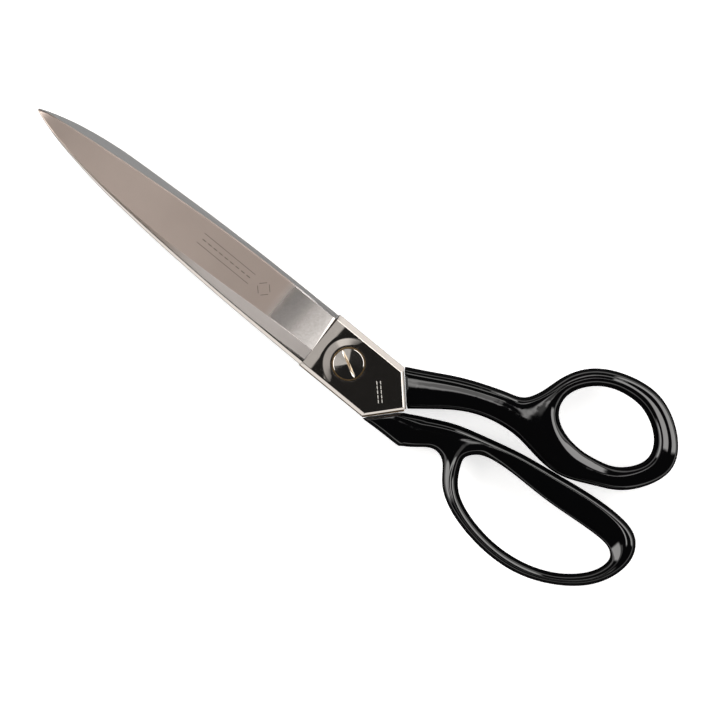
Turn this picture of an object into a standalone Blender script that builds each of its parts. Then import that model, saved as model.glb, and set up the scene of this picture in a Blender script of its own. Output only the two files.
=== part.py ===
"""Fabric shears: two forged halves that cross at a slotted pivot screw, with handles dipped in enamel.

Row frame: origin on the pivot axis at the free end of the pivot screw, tips towards -X,
handles towards +X, thumb bow on the +Y side, screw head up (+Z). Lengths below are in millimetres.
"""
import math

import bmesh
import bpy
import numpy as np

MM = 0.001

# Heights of the stack along the pivot axis.
NUT_LOW, NUT_HIGH = 0.6, 3.55
SPRING_LOW, SPRING_HIGH = 3.62, 4.32
PLATE_THICK = 5.2
LOWER_INNER = 9.6
UPPER_INNER = 9.75
HANDLE_MID = 9.675
RECESS_FLOOR = UPPER_INNER + PLATE_THICK - 1.0
RECESS_RADIUS = 7.15

# Pivot screw: the head's profile is (radius, height above its underside).
SHOULDER_RADIUS = 3.75
SHOULDER_LOW = 9.66
THREAD_RADIUS = 3.0
THREAD_CHAMFER = 0.4
HEAD_LIFT = 0.55
HEAD_PROFILE = ((6.3, 0.0), (6.3, 0.8), (5.7, 1.35), (0.5, 2.7), (0.0, 2.72))
SLOT_FLOOR = 1.3
SLOT_HALF = 0.6
SLOT_REACH = 8.0
SLOT_TURN = math.radians(-27)

# Nut: width across its flats, then the cone that chamfers it.
NUT_ACROSS = 11.0
NUT_CONE = (5.3, 6.6)
NUT_CONE_RISE = 0.75

# Enamel skin: its outer face, its inner face and the forged bar inside it.
SKIN_OUTER = 0.0
SKIN_INNER = 0.35
BAR_INSET = 0.64

# Blade outline of one half, measured from its centreline, against the distance along the blade.
SPINE = ((-164.3, 0.5), (-160, 2.1), (-150, 4.9), (-140, 6.85), (-125, 8.85),
         (-105, 10.3), (-80, 11.6), (-50, 12.5), (-10, 12.85))
EDGE = ((-164.3, 0.1), (-160, 1.3), (-150, 2.6), (-130, 4.9), (-110, 7.1),
        (-90, 8.85), (-70, 10.2), (-50, 10.9), (-10, 11.4))
FACET = ((-164.3, 0.35), (-140, 1.25), (-120, 1.6), (-100, 2.5), (-80, 3.8), (-60, 5.3),
         (-40, 6.8), (-10, 8.0))
CHAMFER = ((-164.3, 0.15), (-150, 0.5), (-130, 0.85), (-100, 1.3), (-60, 1.5), (-10, 1.7))
HEIGHT = ((-164.3, 1.1), (-150, 2.1), (-100, 3.6), (-40, 4.7), (-10, 5.1))
STATIONS = (-164.3, -162.6, -160, -156, -150, -143, -135, -126, -116, -104, -92, -80, -68, -56,
            -46, -38, -34, -30, -26, -22, -19, -16.5, -12)

# Across one blade: land of the cutting edge, bevel behind it and its rise, hollow of the inner face,
# fall of the spine facet, and how far the spine's side stops below that facet for each unit of chamfer.
EDGE_LAND = 0.35
BEVEL_WIDTH = 0.45
BEVEL_RISE = 0.25
HOLLOW_DEPTH = 0.12
FACET_FALL = 0.12
SPINE_FALL = 0.9

# Pivot plate of the thumb half: a corner, then the inset and the slope in degrees of the chamfer
# along the side that follows it.
PLATE = (((-15.5, -12.9), 1.5, 42), ((17.7, -12.9), 1.0, 42), ((30.0, 0.6), 1.35, 38),
         ((18.35, 13.3), 2.4, 42), ((-15.5, 13.3), 0.5, 80))
# Where the cutting edge starts to rise towards the plate, the length of its smooth start, its gradient.
RUN_OUT = (-36.0, 11.0, 0.13)


def curve(table, x):
    """Smooth curve through a short table of (x, value) points."""
    xs = [p[0] for p in table]
    ys = [p[1] for p in table]
    if x <= xs[0]:
        return ys[0]
    if x >= xs[-1]:
        return ys[-1]
    i = max(k for k in range(len(xs) - 1) if xs[k] <= x)

    def slope(k):
        if k == 0:
            return (ys[1] - ys[0]) / (xs[1] - xs[0])
        if k == len(xs) - 1:
            return (ys[-1] - ys[-2]) / (xs[-1] - xs[-2])
        left = (ys[k] - ys[k - 1]) / (xs[k] - xs[k - 1])
        right = (ys[k + 1] - ys[k]) / (xs[k + 1] - xs[k])
        return 0.0 if left * right <= 0 else 2 * left * right / (left + right)

    h = xs[i + 1] - xs[i]
    t = (x - xs[i]) / h
    return ((1 + 2 * t) * (1 - t) ** 2 * ys[i] + t * (1 - t) ** 2 * h * slope(i)
            + t * t * (3 - 2 * t) * ys[i + 1] + t * t * (t - 1) * h * slope(i + 1))


def eased(distance, ease, gradient):
    """Straight slope that starts with a smooth curve as long as ease."""
    distance = max(0.0, distance)
    return gradient * (distance * distance / (2 * ease) if distance < ease else distance - ease / 2)


def bend(x):
    """The two blades share a centreline that bows a little towards +Y before the tips."""
    return 0.38 * math.exp(-((x + 138) / 25) ** 2)


def new_object(name, verts, faces):
    mesh = bpy.data.meshes.new(name)
    mesh.from_pydata([tuple(c * MM for c in v) for v in verts], [], [tuple(f) for f in faces])
    mesh.validate()
    obj = bpy.data.objects.new(name, mesh)
    bpy.context.scene.collection.objects.link(obj)
    return obj


def face_out(obj):
    bm = bmesh.new()
    bm.from_mesh(obj.data)
    bmesh.ops.recalc_face_normals(bm, faces=bm.faces)
    if bm.calc_volume(signed=True) < 0:
        bmesh.ops.reverse_faces(bm, faces=bm.faces)
    bm.to_mesh(obj.data)
    bm.free()
    return obj


def bake(obj):
    """Turns the modifiers on obj into plain mesh."""
    graph = bpy.context.evaluated_depsgraph_get()
    mesh = bpy.data.meshes.new_from_object(obj.evaluated_get(graph))
    obj.modifiers.clear()
    old = obj.data
    obj.data = mesh
    bpy.data.meshes.remove(old)
    return obj


def boolean(obj, other, operation):
    mod = obj.modifiers.new(operation.lower(), "BOOLEAN")
    mod.operation = operation
    mod.solver = "EXACT"
    mod.object = other
    bpy.context.view_layer.update()
    bake(obj)
    bpy.data.objects.remove(other)
    return obj


def lathe(name, profile, segments=40, closed_ring=False):
    """Turns a (radius, height) profile about the pivot axis."""
    verts, rows = [], []
    for r, z in profile:
        if r < 1e-6:
            rows.append([len(verts)] * segments)
            verts.append((0, 0, z))
            continue
        rows.append(list(range(len(verts), len(verts) + segments)))
        for k in range(segments):
            a = 2 * math.pi * k / segments
            verts.append((r * math.cos(a), r * math.sin(a), z))
    pairs = list(zip(rows, rows[1:]))
    if closed_ring:
        pairs.append((rows[-1], rows[0]))
    faces = []
    for low, high in pairs:
        for k in range(segments):
            n = (k + 1) % segments
            face = [low[k], low[n], high[n], high[k]]
            face = [v for i, v in enumerate(face) if v not in face[:i]]
            if len(face) > 2:
                faces.append(face)
    return face_out(new_object(name, verts, faces))


def place(thumb, x, y, z):
    """A point of either half, given as it lies in the thumb half: z is measured from the inner face."""
    if thumb:
        return (x, y + bend(x), UPPER_INNER + z)
    return (x, -y + bend(x), LOWER_INNER - z)


def blade_section(x):
    spine, edge = curve(SPINE, x), curve(EDGE, x)
    chamfer, height = curve(CHAMFER, x), curve(HEIGHT, x)
    facet = curve(FACET, x)
    start, ease, gradient = RUN_OUT
    edge_height = min(EDGE_LAND + eased(x - start, ease, gradient), 0.5 * height)
    edge = max(edge, EDGE_LAND - facet)
    width = spine + edge
    bevel = min(BEVEL_WIDTH, 0.3 * width)
    hollow = min(HOLLOW_DEPTH, 0.01 * width)
    crease = min(facet - spine, edge - bevel - 0.1)
    shoulder = height - FACET_FALL
    return [(-spine, 0.0), (-spine, shoulder - SPINE_FALL * chamfer),
            (min(chamfer, 0.8 * facet) - spine, shoulder), (crease, height),
            (edge - bevel, edge_height + BEVEL_RISE), (edge, 0.0), (0.5 * (edge - spine), hollow)]


def blade(name, thumb):
    verts, faces = [], []
    for x in STATIONS:
        verts += [place(thumb, x, y, z) for y, z in blade_section(x)]
    n = len(blade_section(STATIONS[0]))
    for i in range(len(STATIONS) - 1):
        for k in range(n):
            m = (k + 1) % n
            faces.append((i * n + k, i * n + m, (i + 1) * n + m, (i + 1) * n + k))
    faces.append(tuple(range(n)))
    last = (len(STATIONS) - 1) * n
    faces.append(tuple(range(last, last + n)))
    return face_out(new_object(name, verts, faces))


def chamfered_prism(name):
    """Upright five-sided block with a chamfer along each side of its top."""
    corners = [np.array(p[0], float) for p in PLATE]
    n = len(corners)
    verts = [(x, y, z) for z in (0.0, PLATE_THICK) for x, y in corners]
    faces = [tuple(range(n)), tuple(range(n, 2 * n))]
    faces += [(k, (k + 1) % n, n + (k + 1) % n, n + k) for k in range(n)]
    obj = face_out(new_object(name, verts, faces))
    bm = bmesh.new()
    bm.from_mesh(obj.data)
    for k, (_, inset, slope) in enumerate(PLATE):
        side = corners[(k + 1) % n] - corners[k]
        out = np.array([side[1], -side[0]]) / np.linalg.norm(side)
        lean = math.radians(slope)
        normal = (out[0] * math.sin(lean), out[1] * math.sin(lean), math.cos(lean))
        through = corners[k] - out * inset
        geometry = bm.verts[:] + bm.edges[:] + bm.faces[:]
        point = (through[0] * MM, through[1] * MM, PLATE_THICK * MM)
        made = bmesh.ops.bisect_plane(bm, geom=geometry, plane_co=point, plane_no=normal, dist=1e-7,
                                      clear_outer=True)
        edges = [e for e in made["geom_cut"] if isinstance(e, bmesh.types.BMEdge)]
        bmesh.ops.contextual_create(bm, geom=edges)
    bm.to_mesh(obj.data)
    bm.free()
    return face_out(obj)


def plate(name, thumb):
    obj = chamfered_prism(name)
    for v in obj.data.vertices:
        v.co = [c * MM for c in place(thumb, *(c / MM for c in v.co))]
    return face_out(obj)


# Handles. Each bow is a ring of stations: inner rim, outer rim, ridge distance from the inner rim,
# half thickness at the ridge, half thickness at the outer shoulder, width of the outer rounding.
# The thumb bow's inner rim is the egg-shaped hole. The outer wall is left open where the shank runs in.
# A shank is a row of sections: upper edge, lower edge.
THUMB_HOLE_CENTRE = (98.3, 47.9)
THUMB_HOLE_HALF = (20.9, 14.6)
THUMB_HOLE_TILT = math.radians(8)
THUMB_HOLE_EGG = 1.5
THUMB_RING = (
    ((129.6, 48), 3.4, 4.0, 2.5, 2.6),
    ((124.5, 61), 3.2, 4.0, 2.3, 2.4),
    ((113, 68.9), 3.0, 3.9, 2.5, 2.2),
    ((101, 70.85), 2.9, 3.9, 3.0, 2.0),
    ((88, 67.7), 3.0, 3.9, 3.0, 2.0),
    ((77.6, 61.1), 3.2, 3.9, 3.0, 2.0),
    ((71.6, 52), 3.2, 4.0, 3.1, 2.0),
    ((68.8, 43), 3.8, 4.0, 3.5, 1.9),
    ((73, 34.5), 4.3, 4.0, 4.0, 0.0),
    ((80.5, 26.5), 5.0, 4.0, 4.0, 0.0),
    ((89, 18.9), 5.4, 4.0, 3.4, 2.4),
    ((99, 20.5), 5.2, 4.0, 3.3, 2.4),
    ((110, 25.5), 4.6, 4.0, 3.1, 2.4),
    ((121.5, 32.8), 3.8, 4.0, 3.1, 2.5),
)
THUMB_OPEN = (7, 8, 9, 10)
THUMB_SHANK = (
    ((64.8, 35.4), (79, 19.9)),
    ((58, 32.3), (69, 20.6)),
    ((48, 28.7), (57, 18.4)),
    ((38, 24.3), (46.5, 13.4)),
    ((28.5, 19.1), (37.8, 7.0)),
    ((18.4, 13.55), (30.1, 0.8)),
)
FINGER_RING = (
    ((133.3, 4.6), (140.5, 9), 3.6, 3.7, 2.8, 2.0),
    ((131.6, 8.2), (137.3, 18), 5.6, 3.8, 3.0, 1.8),
    ((125.5, 10.0), (128, 22), 8.2, 3.9, 3.3, 1.7),
    ((111, 9.2), (111.5, 21.65), 9.2, 4.0, 3.4, 1.6),
    ((96, 8.1), (95.5, 19.36), 8.2, 4.0, 3.4, 1.6),
    ((81, 7.9), (80, 16.85), 6.2, 4.0, 3.4, 1.6),
    ((70.5, 6.9), (67.5, 13.9), 4.4, 4.0, 3.5, 1.8),
    ((64.6, 4.7), (61.0, 8.8), 2.8, 4.0, 4.0, 0.0),
    ((61.4, 0.9), (56.8, 2.6), 2.6, 4.0, 4.0, 0.0),
    ((62.1, -3.4), (55.4, -7.0), 2.8, 3.9, 2.6, 2.2),
    ((67, -10.9), (61.8, -14.7), 2.8, 3.6, 2.4, 1.6),
    ((77, -16.3), (74.2, -21.2), 2.8, 3.4, 2.6, 1.4),
    ((92, -18.9), (92, -24.1), 2.6, 3.3, 2.5, 1.3),
    ((108, -17.2), (110, -22.0), 2.6, 3.3, 2.5, 1.3),
    ((121.5, -11.3), (126, -14.2), 2.7, 3.4, 2.6, 1.4),
    ((130.6, -2.7), (136.6, -3.4), 3.0, 3.5, 2.7, 1.6),
)
FINGER_OPEN = (6, 7, 8, 9)
FINGER_SHANK = (
    ((56.5, 10.9), (49.5, -4.9)),
    ((49.5, 8.6), (44.8, -7.4)),
    ((44, 6.1), (41.0, -10.4)),
    ((40.2, 4.1), (37.9, -12.5)),
    ((38.4, 3.2), (36.0, -13.15)),
    ((34.6, 1.2), (28.5, -13.3)),
    ((30.1, -0.8), (18.4, -13.4)),
)
HALF_THICK = 4.0
# A bow's bevel from the rim up to its crest: share of the ridge distance, share of the height.
BEVEL_SHARE = (0.42, 0.66)
# A shank's flat top: its distances from the long crease and from the lower edge.
TOP_START = 2.1
TOP_END = 4.4
# A shank's lower shoulder: distance from the lower edge, share of the half thickness.
LOW_SHOULDER = (1.9, 0.76)
# The outer rounding is never narrower than this share of the inset.
ROUNDING_SHARE = 1.1
# Across the top of a shank: the long crease's distance from the upper edge and its height, then the
# heights of the flat top, all heights as shares of the half thickness.
THUMB_CROWN = (1.7, 0.84, (0.93, 0.985, 1.0, 0.95))
FINGER_CROWN = (2.6, 0.9, (1.0, 1.0, 0.99, 0.95))
BARE_STRIP = 0.9
BAR_REACH = 0.55
FIT_PASSES = 8
SUBDIVISIONS = 1


def thumb_hole(target):
    """Rim point of the egg-shaped thumb hole that faces the target point."""
    cx, cy = THUMB_HOLE_CENTRE
    a, b = THUMB_HOLE_HALF
    angle = math.atan2(target[1] - cy, target[0] - cx) - THUMB_HOLE_TILT
    t = math.atan2(a * math.sin(angle), b * math.cos(angle))
    u, v = a * math.cos(t), b * math.sin(t)
    c, s = math.cos(THUMB_HOLE_TILT), math.sin(THUMB_HOLE_TILT)
    return (cx + u * c - v * s, cy + u * s + v * c - THUMB_HOLE_EGG * math.cos(t) ** 2)


def thumb_ring():
    return [(thumb_hole(outer), outer, ridge, top, shoulder, fall)
            for outer, ridge, top, shoulder, fall in THUMB_RING]


def handle(thumb):
    """Ring stations, open stations, shank sections, crown, and the slant of the shank's end.

    The slant is how far the top and the underside reach out past the last section.
    """
    if thumb:
        return thumb_ring(), THUMB_OPEN, THUMB_SHANK, THUMB_CROWN, (0.0, BARE_STRIP)
    return FINGER_RING, FINGER_OPEN, FINGER_SHANK, FINGER_CROWN, (BARE_STRIP, 0.0)


def ring_section(station, inset, is_open):
    """Ten points round the bar: rim, bevel, crest, inner top, shoulder, outer side, and the same below."""
    inner, outer, ridge, top, shoulder, fall = station
    inner, outer = np.array(inner, float), np.array(outer, float)
    d = outer - inner
    width = np.linalg.norm(d)
    d = d / width
    top, shoulder = top - inset, shoulder - inset
    side = width - max(fall, ROUNDING_SHARE * inset)
    bevel = (BEVEL_SHARE[0] * ridge + 0.5 * inset, BEVEL_SHARE[1] * top)
    if is_open:
        inside = (width, top)
    else:
        inside = (0.5 * (ridge + side), 0.3 * top + 0.7 * shoulder + 0.15)
    upper = [(inset, 0), bevel, (ridge, top), inside]
    outside = [(side, shoulder), (width - inset, 0), (side, -shoulder)]
    points = [(*(inner + d * k), z) for k, z in upper]
    points += [None if is_open else (*(inner + d * k), z) for k, z in outside]
    points += [(*(inner + d * k), -z) for k, z in reversed(upper[1:])]
    return points


def shank_section(upper, lower, crown, inset, slant):
    """Fourteen points round the bar: four across the top, the lower side, four below, the upper side."""
    crease, crease_height, top_heights = crown
    upper, lower = np.array(upper, float), np.array(lower, float)
    d = lower - upper
    width = np.linalg.norm(d)
    d = d / width
    along = np.array([-d[1], d[0]])
    first, last = crease + TOP_START, width - TOP_END
    across = [first, first + (last - first) / 3, first + (last - first) * 2 / 3, last]
    heights = [HALF_THICK * f - inset for f in top_heights]
    flat = list(zip(across, heights))
    low = (width - max(LOW_SHOULDER[0], ROUNDING_SHARE * inset), LOW_SHOULDER[1] * HALF_THICK - inset)
    high = (crease, crease_height * HALF_THICK - inset)

    def point(k, z):
        shift = slant[0] if z > 0 else slant[1] if z < 0 else 0.5 * (slant[0] + slant[1])
        return (*(upper + d * k + along * shift), z)

    loop = flat + [low, (width - inset, 0), (low[0], -low[1])]
    loop += [(k, -z) for k, z in reversed(flat)]
    loop += [(high[0], -high[1]), (inset, 0), high]
    return [point(k, z) for k, z in loop]


def handle_cage(thumb, inset):
    """Quad cage of a bow and its shank, open at the shank's end."""
    ring, opening, shank, crown, slant = handle(thumb)
    verts, faces, ids = [], [], []
    for i, station in enumerate(ring):
        row = []
        for point in ring_section(station, inset, i in opening[1:-1]):
            row.append(None if point is None else len(verts))
            if point is not None:
                verts.append(point)
        ids.append(row)
    count = len(ring)
    for i in range(count):
        j = (i + 1) % count
        for k in range(10):
            m = (k + 1) % 10
            if i in opening[:-1] and k in (3, 4, 5, 6):
                continue
            faces.append((ids[i][k], ids[i][m], ids[j][m], ids[j][k]))
    a, b = opening[0], opening[-1]
    loop = [ids[i][3] for i in opening] + ids[b][4:7]
    loop += [ids[i][7] for i in reversed(opening)] + ids[a][6:3:-1]
    for s, (upper, lower) in enumerate(shank):
        shift = slant if s == len(shank) - 1 else (0.0, 0.0)
        section = shank_section(upper, lower, crown, inset, shift)
        n = len(section)
        row = list(range(len(verts), len(verts) + n))
        verts += section
        for k in range(n):
            m = (k + 1) % n
            faces.append((loop[m], loop[k], row[k], row[m]))
        loop = row
    return np.array(verts, float), faces


def fit_cage(verts, faces):
    """Moves the cage outwards so that its Catmull-Clark surface passes close by the given points."""
    count = len(verts)
    edge_use, faces_of = {}, [[] for _ in range(count)]
    for face in faces:
        for k in range(4):
            key = frozenset((face[k], face[(k + 1) % 4]))
            edge_use[key] = edge_use.get(key, 0) + 1
            faces_of[face[k]].append((face, k))
    limit = np.zeros((count, count))
    for v in range(count):
        rim = [e for e in edge_use if v in e and edge_use[e] == 1]
        if rim:
            limit[v, v] = 4 / 6
            for e in rim:
                limit[v, next(iter(e - {v}))] += 1 / 6
            continue
        n = len(faces_of[v])
        limit[v, v] = n * n
        for face, k in faces_of[v]:
            limit[v, face[(k + 1) % 4]] += 2
            limit[v, face[(k - 1) % 4]] += 2
            limit[v, face[(k + 2) % 4]] += 1
        limit[v] /= n * (n + 5)
    cage = verts.copy()
    for _ in range(FIT_PASSES):
        cage += verts - limit @ cage
    return cage


def handle_surface(thumb, inset, levels):
    verts, faces = handle_cage(thumb, inset)
    verts = fit_cage(verts, faces)
    verts[:, 2] += HANDLE_MID
    obj = new_object("cage", verts, faces)
    sub = obj.modifiers.new("smooth", "SUBSURF")
    sub.levels = levels
    sub.render_levels = levels
    sub.use_limit_surface = True
    bpy.context.view_layer.update()
    bake(obj)
    bm = bmesh.new()
    bm.from_mesh(obj.data)
    points = [tuple(c / MM for c in v.co) for v in bm.verts]
    quads = [tuple(v.index for v in f.verts) for f in bm.faces]
    triangles = [t for a, b, c, d in quads for t in ((a, b, c), (a, c, d))]
    rim_edges = [e for e in bm.edges if e.is_boundary]
    rim = [(e.verts[0].index, e.verts[1].index) for e in rim_edges]
    bm.free()
    bpy.data.objects.remove(obj)
    return points, triangles, rim


def enamel(name, thumb, levels):
    """The dipped skin: outer face, inner face and the rim that joins them at the shank's end."""
    outer, triangles, rim = handle_surface(thumb, SKIN_OUTER, levels)
    inner, _, _ = handle_surface(thumb, SKIN_INNER, levels)
    n = len(outer)
    faces = triangles + [tuple(v + n for v in reversed(t)) for t in triangles]
    faces += [(a, b, b + n, a + n) for a, b in rim]
    return face_out(new_object(name, outer + inner, faces))


def forged_bar(thumb, levels):
    """The steel inside the enamel, reaching a little into the pivot plate."""
    points, triangles, rim = handle_surface(thumb, BAR_INSET, levels)
    shank = handle(thumb)[2]
    follow = {}
    for a, b in rim:
        follow.setdefault(a, []).append(b)
        follow.setdefault(b, []).append(a)
    loop = [rim[0][0], rim[0][1]]
    while len(loop) < len(rim):
        loop.append([v for v in follow[loop[-1]] if v != loop[-2]][0])
    upper, lower = (np.array(p, float) for p in shank[-1])
    width = np.linalg.norm(lower - upper)
    d = (lower - upper) / width
    along = np.array([-d[1], d[0]])
    runs = [(end - np.array(back, float)) for end, back in ((upper, shank[-2][0]), (lower, shank[-2][1]))]
    runs = [run / np.linalg.norm(run) for run in runs]
    first = len(points)
    for v in loop:
        place_of = np.array(points[v][:2])
        across = min(1.0, max(0.0, float(np.dot(place_of - upper, d)) / width))
        run = runs[0] * (1 - across) + runs[1] * across
        reach = float(np.dot(place_of - upper, along)) + BAR_REACH
        place_of = place_of + run * reach / -float(np.dot(run, along))
        points.append((place_of[0], place_of[1], points[v][2]))
    n = len(loop)
    faces = triangles + [tuple(range(first, first + n))]
    faces += [(loop[k], loop[(k + 1) % n], first + (k + 1) % n, first + k) for k in range(n)]
    return face_out(new_object("bar", points, faces))


def cylinder(radius, low, high, segments=40):
    return lathe("cutter", [(0, low), (radius, low), (radius, high), (0, high)], segments)


def forged_half(name, thumb, levels):
    body = blade(name, thumb)
    boolean(body, plate("plate", thumb), "UNION")
    boolean(body, forged_bar(thumb, levels), "UNION")
    if thumb:
        boolean(body, cylinder(SHOULDER_RADIUS + 0.05, 8, 17), "DIFFERENCE")
        boolean(body, cylinder(RECESS_RADIUS, RECESS_FLOOR, 17), "DIFFERENCE")
    else:
        boolean(body, cylinder(THREAD_RADIUS + 0.1, 3, 11), "DIFFERENCE")
    return body


def pivot_screw(name):
    """Slotted cone-headed screw with a plain shoulder and a thread, shown as its outside diameter."""
    under = RECESS_FLOOR + HEAD_LIFT
    shank = [(0, 0), (THREAD_RADIUS - THREAD_CHAMFER, 0), (THREAD_RADIUS, THREAD_CHAMFER),
             (THREAD_RADIUS, SHOULDER_LOW), (SHOULDER_RADIUS, SHOULDER_LOW), (SHOULDER_RADIUS, under)]
    head = [(r, under + rise) for r, rise in HEAD_PROFILE]
    screw = lathe(name, shank + head)
    low, high = under + SLOT_FLOOR, under + 4
    corners = ((-SLOT_REACH, -SLOT_HALF), (SLOT_REACH, -SLOT_HALF), (SLOT_REACH, SLOT_HALF),
               (-SLOT_REACH, SLOT_HALF))
    box = [(x, y, z) for z in (low, high) for x, y in corners]
    c, s = math.cos(SLOT_TURN), math.sin(SLOT_TURN)
    verts = [(x * c - y * s, x * s + y * c, z) for x, y, z in box]
    faces = [(0, 1, 2, 3), (4, 5, 6, 7), (0, 1, 5, 4), (1, 2, 6, 5), (2, 3, 7, 6), (3, 0, 4, 7)]
    return boolean(screw, face_out(new_object("slot", verts, faces)), "DIFFERENCE")


def hex_nut(name):
    """Hexagon nut with a chamfer on its outer face, its thread shown as its inside diameter."""
    corner = NUT_ACROSS / math.sqrt(3)
    nut = lathe(name, [(0, NUT_LOW), (corner, NUT_LOW), (corner, NUT_HIGH), (0, NUT_HIGH)], 6)
    (face, outside), rise = NUT_CONE, NUT_CONE_RISE
    cone = lathe("cone", [(0, NUT_LOW), (face, NUT_LOW), (outside, NUT_LOW + rise),
                          (outside, NUT_HIGH + 1), (0, NUT_HIGH + 1)])
    boolean(nut, cone, "INTERSECT")
    return boolean(nut, cylinder(THREAD_RADIUS + 0.08, NUT_LOW - 1, NUT_HIGH + 1), "DIFFERENCE")


def head_washer(name):
    low, high = RECESS_FLOOR + 0.03, RECESS_FLOOR + 0.5
    profile = [(3.9, low), (6.9, low), (6.9, high - 0.12), (6.78, high), (3.9, high)]
    return lathe(name, profile, closed_ring=True)


def tension_washer(name):
    """Dished spring washer that keeps the blades drawn together."""
    profile = [(3.3, SPRING_LOW), (6.0, SPRING_LOW + 0.22), (6.0, SPRING_HIGH), (3.3, SPRING_HIGH - 0.22)]
    return lathe(name, profile, closed_ring=True)


def material(obj, name, colour, roughness, metallic):
    mat = bpy.data.materials.get(name) or bpy.data.materials.new(name)
    mat.use_nodes = True
    shader = mat.node_tree.nodes["Principled BSDF"]
    shader.inputs["Base Color"].default_value = (*colour, 1)
    shader.inputs["Roughness"].default_value = roughness
    shader.inputs["Metallic"].default_value = metallic
    obj.data.materials.clear()
    obj.data.materials.append(mat)
    for poly in obj.data.polygons:
        poly.use_smooth = True
    obj.data.set_sharp_from_angle(angle=math.radians(30))


def main():
    for obj in list(bpy.data.objects):
        bpy.data.objects.remove(obj)
    thumb_steel = forged_half("thumb_blade", True, SUBDIVISIONS)
    finger_steel = forged_half("finger_blade", False, SUBDIVISIONS)
    thumb_skin = enamel("thumb_handle_enamel", True, SUBDIVISIONS)
    finger_skin = enamel("finger_handle_enamel", False, SUBDIVISIONS)
    material(thumb_steel, "thumb_steel", (0.56, 0.53, 0.50), 0.3, 1.0)
    material(finger_steel, "finger_steel", (0.56, 0.53, 0.50), 0.3, 1.0)
    material(thumb_skin, "thumb_enamel", (0.01, 0.01, 0.012), 0.08, 0.0)
    material(finger_skin, "finger_enamel", (0.01, 0.01, 0.012), 0.08, 0.0)
    material(pivot_screw("pivot_screw"), "screw_nickel", (0.62, 0.6, 0.57), 0.18, 1.0)
    material(head_washer("head_washer"), "washer_brass", (0.55, 0.4, 0.18), 0.3, 1.0)
    material(tension_washer("tension_washer"), "washer_steel", (0.4, 0.4, 0.41), 0.35, 1.0)
    material(hex_nut("pivot_nut"), "nut_nickel", (0.58, 0.57, 0.55), 0.25, 1.0)


main()
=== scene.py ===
"""Looks of the fabric shears: finer steel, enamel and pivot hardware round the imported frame.

Row frame as in the record: pivot axis on Z, tips towards -X, thumb bow towards +Y, screw head up.
Lengths in the shape code are in millimetres.
"""

import math

import bmesh
import bpy
import numpy as np
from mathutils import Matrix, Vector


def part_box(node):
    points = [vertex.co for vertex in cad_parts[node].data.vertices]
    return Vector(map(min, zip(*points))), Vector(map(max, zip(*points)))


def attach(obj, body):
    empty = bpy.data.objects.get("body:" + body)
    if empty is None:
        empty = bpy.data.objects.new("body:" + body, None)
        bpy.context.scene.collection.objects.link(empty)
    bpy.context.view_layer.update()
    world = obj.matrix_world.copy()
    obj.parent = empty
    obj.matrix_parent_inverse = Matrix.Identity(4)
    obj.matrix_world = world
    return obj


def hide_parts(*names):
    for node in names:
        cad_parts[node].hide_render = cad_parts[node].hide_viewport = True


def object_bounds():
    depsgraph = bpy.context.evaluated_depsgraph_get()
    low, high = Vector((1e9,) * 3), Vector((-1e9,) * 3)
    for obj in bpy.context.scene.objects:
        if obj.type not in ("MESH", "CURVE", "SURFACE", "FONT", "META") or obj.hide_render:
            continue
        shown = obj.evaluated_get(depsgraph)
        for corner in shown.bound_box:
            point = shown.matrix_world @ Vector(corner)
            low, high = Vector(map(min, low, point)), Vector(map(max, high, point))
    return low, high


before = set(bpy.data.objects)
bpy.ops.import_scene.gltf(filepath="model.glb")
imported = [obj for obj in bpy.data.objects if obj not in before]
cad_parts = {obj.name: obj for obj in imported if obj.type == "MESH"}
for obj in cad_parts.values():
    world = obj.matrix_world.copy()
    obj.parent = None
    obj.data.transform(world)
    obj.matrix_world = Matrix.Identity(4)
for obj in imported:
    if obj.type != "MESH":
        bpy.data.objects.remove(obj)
cad_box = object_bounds()

MM = 0.001


def level(node, corner):
    """Height of a CAD node's lowest (0) or highest (1) corner, in millimetres."""
    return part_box(node)[corner].z / MM


# Heights of the stack along the pivot axis, read from the frame.
NUT_LOW, NUT_HIGH = level("pivot_nut", 0), level("pivot_nut", 1)
SPRING_LOW, SPRING_HIGH = level("tension_washer", 0), level("tension_washer", 1)
WASHER_LOW, WASHER_HIGH = level("head_washer", 0), level("head_washer", 1)
PLATE_TOP = level("thumb_blade", 1)
PLATE_BOTTOM = level("finger_blade", 0)
PLATE_THICK = 5.2
UPPER_INNER = PLATE_TOP - PLATE_THICK
LOWER_INNER = PLATE_BOTTOM + PLATE_THICK
HANDLE_MID = 0.5 * (UPPER_INNER + LOWER_INNER)
RECESS_FLOOR = WASHER_LOW - 0.03
RECESS_RADIUS = 7.15
RECESS_BEVEL = 0.15
# Shallow polished dish round the recess: inner rim, lowest line, outer rim, depth.
DISH = (6.9, 10.7, 12.6, 0.1)
# How far a cutter's open side stands above the plate.
CLEAR = 0.02

# Pivot screw: plain shoulder, V thread, and a cone head whose side ends SIDE_RISE above its underside.
SHOULDER_RADIUS = 3.75
SHOULDER_LOW = 9.66
THREAD_RADIUS = 3.0
THREAD_PITCH = 0.9
THREAD_DEPTH = 0.42
THREAD_ENDS = (0.9, 9.3)
HEAD_RADIUS = 6.3
HEAD_UNDER = WASHER_HIGH + 0.05
SIDE_RISE = 1.08
CONE_RISE = 1.62
CONE_SPREAD = 5.6
CONE_STEPS = 12
TIP_RADIUS = 0.5
TIP_RISE = 2.72
SLOT_TURN = math.radians(-27)
SLOT_FLOOR = 1.05
SLOT_VEE = 0.3
SLOT_HALF = 0.55
SLOT_REACH = 8.0
NUT_ACROSS = 11.0

SKIN_THICK = 0.35
SKIN_LEVELS = 4
# The enamel's end rolls in: over what length, by what share of its thickness, and between which
# distances from the shank's upper edge.
LIP = 0.7
LIP_ROLL = 0.8
LIP_SPAN = (-3, 22)
SHANK_END_X = 40
BAR_INSET = 0.64
BAR_LEVELS = 2

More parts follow.
